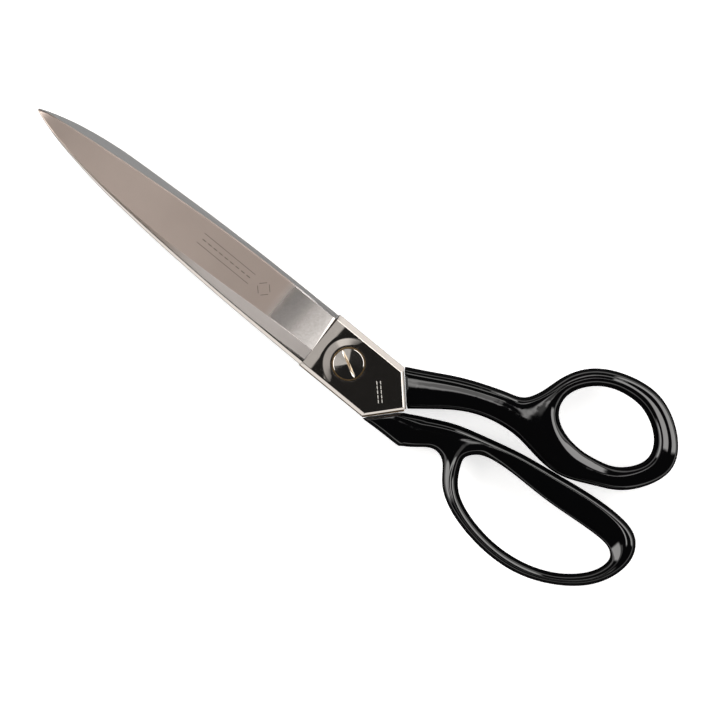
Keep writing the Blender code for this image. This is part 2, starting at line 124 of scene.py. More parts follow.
# Across one blade: land of the cutting edge, bevel behind it and its rise, hollow of the inner face,
# fall of the spine facet, and how far the spine's side stops below that facet for each unit of chamfer.
EDGE_LAND = 0.35
BEVEL_WIDTH = 0.45
BEVEL_RISE = 0.25
HOLLOW_DEPTH = 0.12
FACET_FALL = 0.12
SPINE_FALL = 0.9
# How far each corner of that section is rounded: spine's foot, spine, facet, crease, bevel, edge.
ROUNDING = (0.1, 0.22, 0.3, 0.12, 0.06, 0.0)

# Blade outline of one half, measured from its centreline, against the distance along the blade.
SPINE = ((-164.3, 0.5), (-160, 2.1), (-150, 4.9), (-140, 6.85), (-125, 8.85),
         (-105, 10.3), (-80, 11.6), (-50, 12.5), (-10, 12.85))
EDGE = ((-164.3, 0.1), (-160, 1.3), (-150, 2.6), (-130, 4.9), (-110, 7.1),
        (-90, 8.85), (-70, 10.2), (-50, 10.9), (-10, 11.4))
FACET = ((-164.3, 0.35), (-140, 1.25), (-120, 1.6), (-100, 2.5), (-80, 3.8), (-60, 5.3),
         (-40, 6.8), (-10, 8.0))
CHAMFER = ((-164.3, 0.15), (-150, 0.5), (-130, 0.85), (-100, 1.3), (-60, 1.5), (-10, 1.7))
HEIGHT = ((-164.3, 1.1), (-150, 2.1), (-100, 3.6), (-40, 4.65), (-16, 4.91), (-10, 4.92))
# Where the cutting edge starts to rise towards the plate, the length of its smooth start, its gradient.
RUN_OUT = (-36.0, 11.0, 0.13)
BLADE_TIP, BLADE_ROOT = -164.3, -12.0

# Pivot plate of the thumb half: a corner, then the inset and the slope in degrees of the chamfer
# along the side that follows it.
PLATE = (((-15.5, -12.9), 1.5, 42), ((17.7, -12.9), 1.0, 42), ((30.0, 0.6), 1.35, 38),
         ((18.35, 13.3), 2.4, 42), ((-15.5, 13.3), 0.5, 80))
PLATE_EDGE_ROUND = 0.15
# Where the plate's top starts to fall towards the blade, the length of its smooth start, its gradient.
PLATE_ROLL = (-10.2, 2.2, 0.086)
ROLL_CUTS = 12
# The wall between the blade and the plate, its upper edge, and where the crease meets it.
PLATE_WALL = PLATE[0][0][0]
STEP_TOP = PLATE_WALL + PLATE[4][1]
CREASE_AT_STEP = -4.9
# Order of the finishes on a forged half; the fourth is painted shadow on the step's wall.
GROUND_SIDE, FACET_SIDE, POLISHED, STEP_SHADE, INNER_SIDE, LAPPED = range(6)

# Handles. Each bow is a ring of stations: inner rim, outer rim, ridge distance from the inner rim,
# half thickness at the ridge, half thickness at the outer shoulder, width of the outer rounding.
# The thumb bow's inner rim is the egg-shaped hole. The outer wall is left open where the shank runs in.
# A shank is a row of sections: upper edge, lower edge.
THUMB_HOLE_CENTRE = (98.3, 47.9)
THUMB_HOLE_HALF = (20.9, 14.6)
THUMB_HOLE_TILT = math.radians(8)
THUMB_HOLE_EGG = 1.5
THUMB_RING = (
    ((129.6, 48), 3.4, 4.0, 2.5, 2.6),
    ((124.5, 61), 3.2, 4.0, 2.3, 2.4),
    ((113, 68.9), 3.0, 3.9, 2.5, 2.2),
    ((101, 70.85), 2.9, 3.9, 3.0, 2.0),
    ((88, 67.7), 3.0, 3.9, 3.0, 2.0),
    ((77.6, 61.1), 3.2, 3.9, 3.0, 2.0),
    ((71.6, 52), 3.2, 4.0, 3.1, 2.0),
    ((68.8, 43), 3.8, 4.0, 3.5, 1.9),
    ((73, 34.5), 4.3, 4.0, 4.0, 0.0),
    ((80.5, 26.5), 5.0, 4.0, 4.0, 0.0),
    ((89, 18.9), 5.4, 4.0, 3.4, 2.4),
    ((99, 20.5), 5.2, 4.0, 3.3, 2.4),
    ((110, 25.5), 4.6, 4.0, 3.1, 2.4),
    ((121.5, 32.8), 3.8, 4.0, 3.1, 2.5),
)
THUMB_OPEN = (7, 8, 9, 10)
THUMB_SHANK = (
    ((64.8, 35.4), (79, 19.9)),
    ((58, 32.3), (69, 20.6)),
    ((48, 28.7), (57, 18.4)),
    ((38, 24.3), (46.5, 13.4)),
    ((28.5, 19.1), (37.8, 7.0)),
    ((18.4, 13.55), (30.1, 0.8)),
)
FINGER_RING = (
    ((133.3, 4.6), (140.5, 9), 3.6, 3.7, 2.8, 2.0),
    ((131.6, 8.2), (137.3, 18), 5.6, 3.8, 3.0, 1.8),
    ((125.5, 10.0), (128, 22), 8.2, 3.9, 3.3, 1.7),
    ((111, 9.2), (111.5, 21.65), 9.2, 4.0, 3.4, 1.6),
    ((96, 8.1), (95.5, 19.36), 8.2, 4.0, 3.4, 1.6),
    ((81, 7.9), (80, 16.85), 6.2, 4.0, 3.4, 1.6),
    ((70.5, 6.9), (67.5, 13.9), 4.4, 4.0, 3.5, 1.8),
    ((64.6, 4.7), (61.0, 8.8), 2.8, 4.0, 4.0, 0.0),
    ((61.4, 0.9), (56.8, 2.6), 2.6, 4.0, 4.0, 0.0),
    ((62.1, -3.4), (55.4, -7.0), 2.8, 3.9, 2.6, 2.2),
    ((67, -10.9), (61.8, -14.7), 2.8, 3.6, 2.4, 1.6),
    ((77, -16.3), (74.2, -21.2), 2.8, 3.4, 2.6, 1.4),
    ((92, -18.9), (92, -24.1), 2.6, 3.3, 2.5, 1.3),
    ((108, -17.2), (110, -22.0), 2.6, 3.3, 2.5, 1.3),
    ((121.5, -11.3), (126, -14.2), 2.7, 3.4, 2.6, 1.4),
    ((130.6, -2.7), (136.6, -3.4), 3.0, 3.5, 2.7, 1.6),
)
FINGER_OPEN = (6, 7, 8, 9)
FINGER_SHANK = (
    ((56.5, 10.9), (49.5, -4.9)),
    ((49.5, 8.6), (44.8, -7.4)),
    ((44, 6.1), (41.0, -10.4)),
    ((40.2, 4.1), (37.9, -12.5)),
    ((38.4, 3.2), (36.0, -13.15)),
    ((34.6, 1.2), (28.5, -13.3)),
    ((30.1, -0.8), (18.4, -13.4)),
)
HALF_THICK = 4.0
# A bow's bevel from the rim up to its crest: share of the ridge distance, share of the height.
BEVEL_SHARE = (0.42, 0.66)
# A shank's flat top: its distances from the long crease and from the lower edge.
TOP_START = 2.1
TOP_END = 4.4
# A shank's lower shoulder: distance from the lower edge, share of the half thickness.
LOW_SHOULDER = (1.9, 0.76)
# The outer rounding is never narrower than this share of the inset.
ROUNDING_SHARE = 1.1
# Across the top of a shank: the long crease's distance from the upper edge and its height, then the
# heights of the flat top, all heights as shares of the half thickness.
THUMB_CROWN = (1.7, 0.84, (0.93, 0.985, 1.0, 0.95))
FINGER_CROWN = (2.6, 0.9, (1.0, 1.0, 0.99, 0.95))
BARE_STRIP = 0.9
FIT_PASSES = 8


# ---------------------------------------------------------------- shape tools

def curve(table, x):
    """Smooth curve through a short table of (x, value) points."""
    xs = [p[0] for p in table]
    ys = [p[1] for p in table]
    if x <= xs[0]:
        return ys[0]
    if x >= xs[-1]:
        return ys[-1]
    i = max(k for k in range(len(xs) - 1) if xs[k] <= x)

    def slope(k):
        if k == 0:
            return (ys[1] - ys[0]) / (xs[1] - xs[0])
        if k == len(xs) - 1:
            return (ys[-1] - ys[-2]) / (xs[-1] - xs[-2])
        left = (ys[k] - ys[k - 1]) / (xs[k] - xs[k - 1])
        right = (ys[k + 1] - ys[k]) / (xs[k + 1] - xs[k])
        return 0.0 if left * right <= 0 else 2 * left * right / (left + right)

    h = xs[i + 1] - xs[i]
    t = (x - xs[i]) / h
    return ((1 + 2 * t) * (1 - t) ** 2 * ys[i] + t * (1 - t) ** 2 * h * slope(i)
            + t * t * (3 - 2 * t) * ys[i + 1] + t * t * (t - 1) * h * slope(i + 1))


def eased(distance, ease, gradient):
    """Straight slope that starts with a smooth curve as long as ease."""
    distance = max(0.0, distance)
    return gradient * (distance * distance / (2 * ease) if distance < ease else distance - ease / 2)


def bend(x):
    """The two blades share a centreline that bows a little towards +Y before the tips."""
    return 0.38 * math.exp(-((x + 138) / 25) ** 2)


def new_object(name, verts, faces):
    mesh = bpy.data.meshes.new(name)
    mesh.from_pydata([tuple(c * MM for c in v) for v in verts], [], [tuple(f) for f in faces])
    mesh.validate()
    obj = bpy.data.objects.new(name, mesh)
    bpy.context.scene.collection.objects.link(obj)
    return obj


def face_out(obj):
    bm = bmesh.new()
    bm.from_mesh(obj.data)
    bmesh.ops.recalc_face_normals(bm, faces=bm.faces)
    if bm.calc_volume(signed=True) < 0:
        bmesh.ops.reverse_faces(bm, faces=bm.faces)
    bm.to_mesh(obj.data)
    bm.free()
    return obj


def bake(obj):
    """Turns the modifiers on obj into plain mesh."""
    graph = bpy.context.evaluated_depsgraph_get()
    mesh = bpy.data.meshes.new_from_object(obj.evaluated_get(graph))
    obj.modifiers.clear()
    old = obj.data
    obj.data = mesh
    bpy.data.meshes.remove(old)
    return obj


def boolean(obj, other, operation):
    mod = obj.modifiers.new(operation.lower(), "BOOLEAN")
    mod.operation = operation
    mod.solver = "EXACT"
    mod.object = other
    bpy.context.view_layer.update()
    bake(obj)
    bpy.data.objects.remove(other)
    return obj


def round_edges(obj, width, segments, angle):
    mod = obj.modifiers.new("round", "BEVEL")
    mod.width = width * MM
    mod.segments = segments
    mod.limit_method = "ANGLE"
    mod.angle_limit = math.radians(angle)
    bpy.context.view_layer.update()
    return bake(obj)


def shade(obj, sharp_angle):
    """Smooth shading that breaks at edges sharper than the angle, in degrees."""
    for poly in obj.data.polygons:
        poly.use_smooth = True
    obj.data.set_sharp_from_angle(angle=math.radians(sharp_angle))
    return obj


def smooth(obj, sharp_angle):
    """Smooth shading with the wide faces kept flat."""
    shade(obj, sharp_angle)
    mod = obj.modifiers.new("flat_faces", "WEIGHTED_NORMAL")
    mod.keep_sharp = True
    mod.weight = 100
    return obj


def lathe(name, profile, segments=96, closed_ring=False):
    """Turns a (radius, height) profile about the pivot axis."""
    verts, rows = [], []
    for r, z in profile:
        if r < 1e-6:
            rows.append([len(verts)] * segments)
            verts.append((0, 0, z))
            continue
        rows.append(list(range(len(verts), len(verts) + segments)))
        for k in range(segments):
            a = 2 * math.pi * k / segments
            verts.append((r * math.cos(a), r * math.sin(a), z))
    pairs = list(zip(rows, rows[1:]))
    if closed_ring:
        pairs.append((rows[-1], rows[0]))
    faces = []
    for low, high in pairs:
        for k in range(segments):
            n = (k + 1) % segments
            face = [low[k], low[n], high[n], high[k]]
            face = [v for i, v in enumerate(face) if v not in face[:i]]
            if len(face) > 2:
                faces.append(face)
    return face_out(new_object(name, verts, faces))


def prism_faces(count):
    """Faces of a prism whose points are one outline of count points, then the other."""
    sides = [(k, (k + 1) % count, count + (k + 1) % count, count + k) for k in range(count)]
    return [tuple(range(count)), tuple(range(count, 2 * count))] + sides


def soften(points, reach, steps=4):
    """Replaces each corner of an outline by a short curve from reach before it to reach after it.

    The reach is one number, or one for each corner.
    """
    result = []
    count = len(points)
    for i in range(count):
        here = np.array(points[i], float)
        cut = reach[i] if hasattr(reach, "__len__") else reach
        if cut <= 0:
            result.append(tuple(here))
            continue
        before = np.array(points[i - 1], float) - here
        after = np.array(points[(i + 1) % count], float) - here
        first = here + before * min(cut / np.linalg.norm(before), 0.45)
        last = here + after * min(cut / np.linalg.norm(after), 0.45)
        for k in range(steps + 1):
            t = k / steps
            result.append(tuple((1 - t) ** 2 * first + 2 * t * (1 - t) * here + t * t * last))
    return result


def place(thumb, x, y, z):
    """A point of either half, given as it lies in the thumb half: z is measured from the inner face."""
    if thumb:
        return (x, y + bend(x), UPPER_INNER + z)
    return (x, -y + bend(x), LOWER_INNER - z)


# ---------------------------------------------------------------- forged halves

def blade_corners(x):
    """Corners of the blade's section: spine's foot, spine, facet, crease, cutting bevel, edge."""
    spine, edge = curve(SPINE, x), curve(EDGE, x)
    chamfer, height = curve(CHAMFER, x), curve(HEIGHT, x)
    facet = curve(FACET, x)
    start, ease, gradient = RUN_OUT
    edge_height = min(EDGE_LAND + eased(x - start, ease, gradient), 0.5 * height)
    edge = max(edge, EDGE_LAND - facet)
    bevel = min(BEVEL_WIDTH, 0.3 * (spine + edge))
    crease = min(facet - spine, edge - bevel - 0.1)
    shoulder = height - FACET_FALL
    return [(-spine, 0.0), (-spine, shoulder - SPINE_FALL * chamfer),
            (min(chamfer, 0.8 * facet) - spine, shoulder), (crease, height),
            (edge - bevel, edge_height + BEVEL_RISE), (edge, 0.0)]


def blade_section(x):
    """Rounded outline of the blade's section, with the shallow hollow of its inner face."""
    corners = blade_corners(x)
    width = corners[5][0] - corners[0][0]
    size = min(1.0, width / 8)
    outer = soften(corners, [share * size for share in ROUNDING])
    depth = min(HOLLOW_DEPTH, 0.01 * width)
    inner = []
    for k in range(1, 8):
        t = k / 8
        inner.append((corners[5][0] - width * t, 4 * depth * t * (1 - t)))
    return outer + inner


def blade(name, thumb):
    """Blade swept through its sections, which lie closer together where it runs out into the plate."""
    stations = [BLADE_TIP + 0.4 * k for k in range(6)]
    while stations[-1] < BLADE_ROOT:
        step = 0.7 if stations[-1] > -42 else 1.8
        stations.append(min(stations[-1] + step, BLADE_ROOT))
    verts, faces = [], []
    for x in stations:
        verts += [place(thumb, x, y, z) for y, z in blade_section(x)]
    n = len(blade_section(stations[0]))
    for i in range(len(stations) - 1):
        for k in range(n):
            m = (k + 1) % n
            faces.append((i * n + k, i * n + m, (i + 1) * n + m, (i + 1) * n + k))
    faces.append(tuple(range(n)))
    last = (len(stations) - 1) * n
    faces.append(tuple(range(last, last + n)))
    return face_out(new_object(name, verts, faces))


def chamfered_prism(name):
    """Upright five-sided block with a chamfer along each side of its top."""
    corners = [np.array(p[0], float) for p in PLATE]
    n = len(corners)
    verts = [(x, y, z) for z in (0.0, PLATE_THICK) for x, y in corners]
    obj = face_out(new_object(name, verts, prism_faces(n)))
    bm = bmesh.new()
    bm.from_mesh(obj.data)
    for k, (_, inset, slope) in enumerate(PLATE):
        side = corners[(k + 1) % n] - corners[k]
        out = np.array([side[1], -side[0]]) / np.linalg.norm(side)
        lean = math.radians(slope)
        normal = (out[0] * math.sin(lean), out[1] * math.sin(lean), math.cos(lean))
        through = corners[k] - out * inset
        geometry = bm.verts[:] + bm.edges[:] + bm.faces[:]
        point = (through[0] * MM, through[1] * MM, PLATE_THICK * MM)
        made = bmesh.ops.bisect_plane(bm, geom=geometry, plane_co=point, plane_no=normal, dist=1e-7,
                                      clear_outer=True)
        edges = [e for e in made["geom_cut"] if isinstance(e, bmesh.types.BMEdge)]
        bmesh.ops.contextual_create(bm, geom=edges)
    bm.to_mesh(obj.data)
    bm.free()
    return face_out(obj)


def plate(name, thumb):
    """Pivot plate whose polished top falls a little towards the blade."""
    obj = chamfered_prism(name)
    round_edges(obj, PLATE_EDGE_ROUND, 3, 20)
    start, ease, gradient = PLATE_ROLL
    bm = bmesh.new()
    bm.from_mesh(obj.data)
    for k in range(ROLL_CUTS):
        geometry = bm.verts[:] + bm.edges[:] + bm.faces[:]
        point = ((start - ease * k / 4) * MM, 0, 0)
        bmesh.ops.bisect_plane(bm, geom=geometry, plane_co=point, plane_no=(1, 0, 0), dist=1e-7)
    for v in bm.verts:
        x, y, z = (c / MM for c in v.co)
        z -= eased(start - x, ease, gradient) * max(0.0, z / PLATE_THICK)
        v.co = [c * MM for c in place(thumb, x, y, z)]
    bm.to_mesh(obj.data)
    bm.free()
    return face_out(obj)


def recess_cutter():
    """Seat of the screw head, with a narrow bevel round its rim."""
    rim = RECESS_RADIUS + RECESS_BEVEL + CLEAR
    profile = [(0, RECESS_FLOOR), (RECESS_RADIUS, RECESS_FLOOR),
               (RECESS_RADIUS, PLATE_TOP - RECESS_BEVEL), (rim, PLATE_TOP + CLEAR),
               (rim, PLATE_TOP + 2), (0, PLATE_TOP + 2)]
    return lathe("cutter", profile)


def smoothstep(value, low, high):
    t = min(1.0, max(0.0, (value - low) / (high - low)))
    return t * t * (3 - 2 * t)


def dish_cutter():
    """Shallow dish round the screw, deepest on the blade's side and gone on the handle's side."""
    rim, low, outer, depth = DISH
    above = PLATE_TOP + CLEAR
    rings = [rim + (outer + 0.3 - rim) * k / 16 for k in range(17)]
    profile = [(r, above) for r in rings] + [(rings[-1], above + 2), (rings[0], above + 2)]
    cutter = lathe("cutter", profile, closed_ring=True)
    for v in cutter.data.vertices:
        x, y, z = (c / MM for c in v.co)
        if z < above + 1:
            radius = math.hypot(x, y)
            share = min(1.0, (radius - rim) / (low - rim)) * smoothstep(radius, outer, low)
            share *= smoothstep(x / radius, 0.15, -0.75)
            v.co.z -= (depth + CLEAR) * share * MM
    return cutter


def cylinder(radius, low, high, segments=96):
    return lathe("cutter", [(0, low), (radius, low), (radius, high), (0, high)], segments)


def steel_half(name, thumb):
    """One forging's blade and pivot plate, with its bore and, above, the screw's seat."""
    body = blade(name, thumb)
    boolean(body, plate("plate", thumb), "UNION")
    if thumb:
        bore = cylinder(SHOULDER_RADIUS + 0.05, UPPER_INNER - 2, PLATE_TOP + 2)
        cutters = (bore, dish_cutter(), recess_cutter())
    else:
        cutters = (cylinder(THREAD_RADIUS + 0.1, PLATE_BOTTOM - 1, LOWER_INNER + 1),)
    for cutter in cutters:
        boolean(body, cutter, "DIFFERENCE")
    return smooth(body, 32)


# ---------------------------------------------------------------- enamelled handles

def thumb_hole(target):
    """Rim point of the egg-shaped thumb hole that faces the target point."""
    cx, cy = THUMB_HOLE_CENTRE
    a, b = THUMB_HOLE_HALF
    angle = math.atan2(target[1] - cy, target[0] - cx) - THUMB_HOLE_TILT
    t = math.atan2(a * math.sin(angle), b * math.cos(angle))
    u, v = a * math.cos(t), b * math.sin(t)
    c, s = math.cos(THUMB_HOLE_TILT), math.sin(THUMB_HOLE_TILT)
    return (cx + u * c - v * s, cy + u * s + v * c - THUMB_HOLE_EGG * math.cos(t) ** 2)


def thumb_ring():
    return [(thumb_hole(outer), outer, ridge, top, shoulder, fall)
            for outer, ridge, top, shoulder, fall in THUMB_RING]


def handle(thumb):
    """Ring stations, open stations, shank sections, crown, and the slant of the shank's end.

    The slant is how far the top and the underside reach out past the last section.
    """
    if thumb:
        return thumb_ring(), THUMB_OPEN, THUMB_SHANK, THUMB_CROWN, (0.0, BARE_STRIP)
    return FINGER_RING, FINGER_OPEN, FINGER_SHANK, FINGER_CROWN, (BARE_STRIP, 0.0)


def ring_section(station, inset, is_open):
    """Ten points round the bar: rim, bevel, crest, inner top, shoulder, outer side, and the same below."""
    inner, outer, ridge, top, shoulder, fall = station
    inner, outer = np.array(inner, float), np.array(outer, float)
    d = outer - inner
    width = np.linalg.norm(d)
    d = d / width
    top, shoulder = top - inset, shoulder - inset
    side = width - max(fall, ROUNDING_SHARE * inset)
    bevel = (BEVEL_SHARE[0] * ridge + 0.5 * inset, BEVEL_SHARE[1] * top)
    if is_open:
        inside = (width, top)
    else:
        inside = (ridge + 0.5 * (side - ridge), 0.3 * top + 0.7 * shoulder + 0.15)
    upper = [(inset, 0), bevel, (ridge, top), inside]
    outside = [(side, shoulder), (width - inset, 0), (side, -shoulder)]
    points = [(*(inner + d * k), z) for k, z in upper]
    points += [None if is_open else (*(inner + d * k), z) for k, z in outside]
    points += [(*(inner + d * k), -z) for k, z in reversed(upper[1:])]
    return points


def shank_section(upper, lower, crown, inset, slant):
    """Fourteen points round the bar: four across the top, the lower side, four below, the upper side."""
    crease, crease_height, top_heights = crown
    upper, lower = np.array(upper, float), np.array(lower, float)
    d = lower - upper
    width = np.linalg.norm(d)
    d = d / width
    along = np.array([-d[1], d[0]])
    first, last = crease + TOP_START, width - TOP_END
    across = [first, first + (last - first) / 3, first + (last - first) * 2 / 3, last]
    heights = [HALF_THICK * f - inset for f in top_heights]
    flat = list(zip(across, heights))
    low = (width - max(LOW_SHOULDER[0], ROUNDING_SHARE * inset), LOW_SHOULDER[1] * HALF_THICK - inset)
    high = (crease, crease_height * HALF_THICK - inset)

    def point(k, z):
        shift = slant[0] if z > 0 else slant[1] if z < 0 else 0.5 * (slant[0] + slant[1])
        return (*(upper + d * k + along * shift), z)

    loop = flat + [low, (width - inset, 0), (low[0], -low[1])]
    loop += [(k, -z) for k, z in reversed(flat)]
    loop += [(high[0], -high[1]), (inset, 0), high]
    return [point(k, z) for k, z in loop]


def handle_cage(thumb, inset):
    """Quad cage of a bow and its shank, open at the shank's end."""
    ring, opening, shank, crown, slant = handle(thumb)
    verts, faces, ids = [], [], []
    for i, station in enumerate(ring):
        row = []
        for point in ring_section(station, inset, i in opening[1:-1]):
            row.append(None if point is None else len(verts))
            if point is not None:
                verts.append(point)
        ids.append(row)
    count = len(ring)
    for i in range(count):
        j = (i + 1) % count
        for k in range(10):
            m = (k + 1) % 10
            if i in opening[:-1] and k in (3, 4, 5, 6):
                continue
            faces.append((ids[i][k], ids[i][m], ids[j][m], ids[j][k]))
    a, b = opening[0], opening[-1]
    loop = [ids[i][3] for i in opening] + ids[b][4:7]
    loop += [ids[i][7] for i in reversed(opening)] + ids[a][6:3:-1]
    for s, (upper, lower) in enumerate(shank):
        shift = slant if s == len(shank) - 1 else (0.0, 0.0)
        section = shank_section(upper, lower, crown, inset, shift)
        n = len(section)
        row = list(range(len(verts), len(verts) + n))
        verts += section
        for k in range(n):
            m = (k + 1) % n
            faces.append((loop[m], loop[k], row[k], row[m]))
        loop = row
    return np.array(verts, float), faces


def fit_cage(verts, faces):
    """Moves the cage outwards so that its Catmull-Clark surface passes close by the given points."""
    count = len(verts)
    edge_use, faces_of = {}, [[] for _ in range(count)]
    for face in faces:
        for k in range(4):
            key = frozenset((face[k], face[(k + 1) % 4]))
            edge_use[key] = edge_use.get(key, 0) + 1
            faces_of[face[k]].append((face, k))
    limit = np.zeros((count, count))
    for v in range(count):
        rim = [e for e in edge_use if v in e and edge_use[e] == 1]
        if rim:
            limit[v, v] = 4 / 6
            for e in rim:
                limit[v, next(iter(e - {v}))] += 1 / 6
            continue
        n = len(faces_of[v])
        limit[v, v] = n * n
        for face, k in faces_of[v]:
            limit[v, face[(k + 1) % 4]] += 2
            limit[v, face[(k - 1) % 4]] += 2
            limit[v, face[(k + 2) % 4]] += 1
        limit[v] /= n * (n + 5)
    cage = verts.copy()
    for _ in range(FIT_PASSES):
        cage += verts - limit @ cage
    return cage


def handle_surface(thumb, inset, levels):
    """Points, quads and open rim of the smooth handle surface."""
    verts, faces = handle_cage(thumb, inset)
    verts = fit_cage(verts, faces)
    verts[:, 2] += HANDLE_MID
    obj = new_object("cage", verts, faces)
    sub = obj.modifiers.new("smooth", "SUBSURF")
    sub.levels = levels
    sub.render_levels = levels
    sub.use_limit_surface = True
    bpy.context.view_layer.update()
    bake(obj)
    bm = bmesh.new()
    bm.from_mesh(obj.data)
    points = np.array([v.co for v in bm.verts]) / MM
    quads = [tuple(v.index for v in f.verts) for f in bm.faces]
    rim = [(e.verts[0].index, e.verts[1].index) for e in bm.edges if e.is_boundary]
    bm.free()
    bpy.data.objects.remove(obj)
    return points, quads, rim


def enamel(name, thumb):
    """The dipped skin: outer face, inner face, and a rounded lip where it ends at the plate."""
    outer, quads, rim = handle_surface(thumb, 0.0, SKIN_LEVELS)
    inner, _, _ = handle_surface(thumb, SKIN_THICK, SKIN_LEVELS)
    _, _, shank, _, slant = handle(thumb)
    upper, lower = (np.array(p, float) for p in shank[-1])
    d = (lower - upper) / np.linalg.norm(lower - upper)
    along = np.array([-d[1], d[0]])
    for i, point in enumerate(outer):
        height = np.sign(point[2] - HANDLE_MID)
        end = slant[0] if height > 0 else slant[1] if height < 0 else 0.5 * (slant[0] + slant[1])
        depth = abs(float(np.dot(point[:2] - upper, along)) - end)
        near = float(np.dot(point[:2] - upper, d))
        if depth < LIP and LIP_SPAN[0] < near < LIP_SPAN[1] and point[0] < SHANK_END_X:
            roll = 1 - math.sqrt(max(0.0, 1 - (1 - depth / LIP) ** 2))
            outer[i] = point + (inner[i] - point) * LIP_ROLL * roll
    n = len(outer)
    faces = quads + [tuple(v + n for v in reversed(q)) for q in quads]
    faces += [(a, b, b + n, a + n) for a, b in rim]
    return shade(face_out(new_object(name, list(outer) + list(inner), faces)), 60)


def forged_bar(name, thumb):
    """The steel core inside the enamel."""
    points, quads, rim = handle_surface(thumb, BAR_INSET, BAR_LEVELS)
    follow = {}
    for a, b in rim:
        follow.setdefault(a, []).append(b)
        follow.setdefault(b, []).append(a)
    loop = [rim[0][0], rim[0][1]]
    while len(loop) < len(rim):
        loop.append([v for v in follow[loop[-1]] if v != loop[-2]][0])
    return shade(face_out(new_object(name, list(points), quads + [tuple(loop)])), 50)


# ---------------------------------------------------------------- pivot hardware

def thread_profile():
    """Rows of (radius, height) up the threaded end: a V thread with flat crests."""
    low, z = THREAD_ENDS
    root = THREAD_RADIUS - THREAD_DEPTH
    rows = []
    while z > low:
        rows += [(THREAD_RADIUS, z), (THREAD_RADIUS, z - 0.15), (root, z - 0.5), (root, z - 0.58)]
        z -= THREAD_PITCH
    return rows[::-1]


def slot_cutter():
    """Screwdriver slot with a V floor."""
    low = HEAD_UNDER + SLOT_FLOOR
    section = [(-SLOT_HALF, low + SLOT_VEE), (0, low), (SLOT_HALF, low + SLOT_VEE),
               (SLOT_HALF, low + 4), (-SLOT_HALF, low + 4)]
    c, s = math.cos(SLOT_TURN), math.sin(SLOT_TURN)
    verts = [(x * c - y * s, x * s + y * c, z) for x in (-SLOT_REACH, SLOT_REACH) for y, z in section]
    return face_out(new_object("slot", verts, prism_faces(len(section))))


def pivot_screw(name):
    """Slotted cone-headed screw: V thread, plain shoulder, narrow bevel round the head."""
    shaft = [(0, 0), (2.35, 0), (2.55, 0.12)] + thread_profile()
    waist = THREAD_RADIUS - 0.25
    neck = [(waist, 9.4), (waist, SHOULDER_LOW), (SHOULDER_RADIUS - 0.1, SHOULDER_LOW),
            (SHOULDER_RADIUS, SHOULDER_LOW + 0.1), (SHOULDER_RADIUS, HEAD_UNDER)]
    side = [(HEAD_RADIUS - cut, HEAD_UNDER + rise)
            for cut, rise in ((0.12, 0.0), (0.0, 0.12), (0.0, 0.85), (0.06, 0.98), (0.2, SIDE_RISE))]
    cone = [(TIP_RADIUS + CONE_SPREAD * (1 - k / CONE_STEPS),
             HEAD_UNDER + SIDE_RISE + CONE_RISE * k / CONE_STEPS) for k in range(1, CONE_STEPS + 1)]
    screw = lathe(name, shaft + neck + side + cone + [(0, HEAD_UNDER + TIP_RISE)], 120)
    boolean(screw, slot_cutter(), "DIFFERENCE")
    return smooth(screw, 12)


def paint_screw(obj, nickel, slot):
    """Nickel, with a second, darker and browner nickel on the slot's walls and floor."""
    paint(obj, nickel, slot)
    for poly in obj.data.polygons:
        x, y, z = (c / MM for c in poly.center)
        across = abs(y * math.cos(SLOT_TURN) - x * math.sin(SLOT_TURN))
        poly.material_index = 1 if z > HEAD_UNDER + 1 and across < SLOT_HALF + 0.01 else 0


def hex_nut(name):
    """Hexagon nut with turned chamfers on both faces."""
    corner = NUT_ACROSS / math.sqrt(3)
    nut = lathe(name, [(0, NUT_LOW), (corner, NUT_LOW), (corner, NUT_HIGH), (0, NUT_HIGH)], 6)
    cone = lathe("cone", [(0, NUT_LOW), (5.2, NUT_LOW), (5.35, NUT_LOW + 0.03), (6.6, NUT_LOW + 0.75),
                          (6.6, NUT_HIGH - 0.4), (5.6, NUT_HIGH), (0, NUT_HIGH)])
    boolean(nut, cone, "INTERSECT")
    bore = lathe("bore", [(0, NUT_LOW - 1), (3.9, NUT_LOW - 1), (3.1, NUT_LOW + 0.35),
                          (3.1, NUT_HIGH - 0.3), (3.6, NUT_HIGH + 1), (0, NUT_HIGH + 1)])
    boolean(nut, bore, "DIFFERENCE")
    round_edges(nut, 0.08, 2, 28)
    return smooth(nut, 40)


def washer(name, corners, reach):
    return smooth(lathe(name, soften(corners, reach), closed_ring=True), 50)


def head_washer(name):
    corners = [(3.9, WASHER_LOW), (6.9, WASHER_LOW), (6.9, WASHER_HIGH), (3.9, WASHER_HIGH)]
    return washer(name, corners, 0.12)


def tension_washer(name):
    rise = 0.22
    corners = [(3.3, SPRING_LOW), (6.0, SPRING_LOW + rise), (6.0, SPRING_HIGH), (3.3, SPRING_HIGH - rise)]
    return washer(name, corners, 0.1)


# ---------------------------------------------------------------- etched stitches

def face_height(x, y):
    """Height of the thumb half's top above its inner face, at a place given as on the blade."""
    if x > PLATE_WALL:
        return PLATE_THICK
    corners = blade_corners(x)
    (y0, z0), (y1, z1) = corners[3], corners[4]
    return z0 + (z1 - z0) * (y - y0) / (y1 - y0)


def stitch(centre, turn, length, width):
    """One etched dash: a thin rounded bar let into the surface."""
    half, side = length / 2, width / 2
    outline = soften([(-half, -side), (half, -side), (half, side), (-half, side)], side, 3)
    c, s = math.cos(turn), math.sin(turn)
    points = [(centre[0] + x * c - y * s, centre[1] + x * s + y * c) for x, y in outline]
    verts = [place(True, x, y, face_height(x, y) + lift) for lift in (-0.03, 0.012) for x, y in points]
    return verts, prism_faces(len(points))


def stitch_marks(name, dashes):
    verts, faces = [], []
    for dash in dashes:
        more_verts, more_faces = stitch(*dash)
        faces += [tuple(v + len(verts) for v in f) for f in more_faces]
        verts += more_verts
    return face_out(new_object(name, verts, faces))


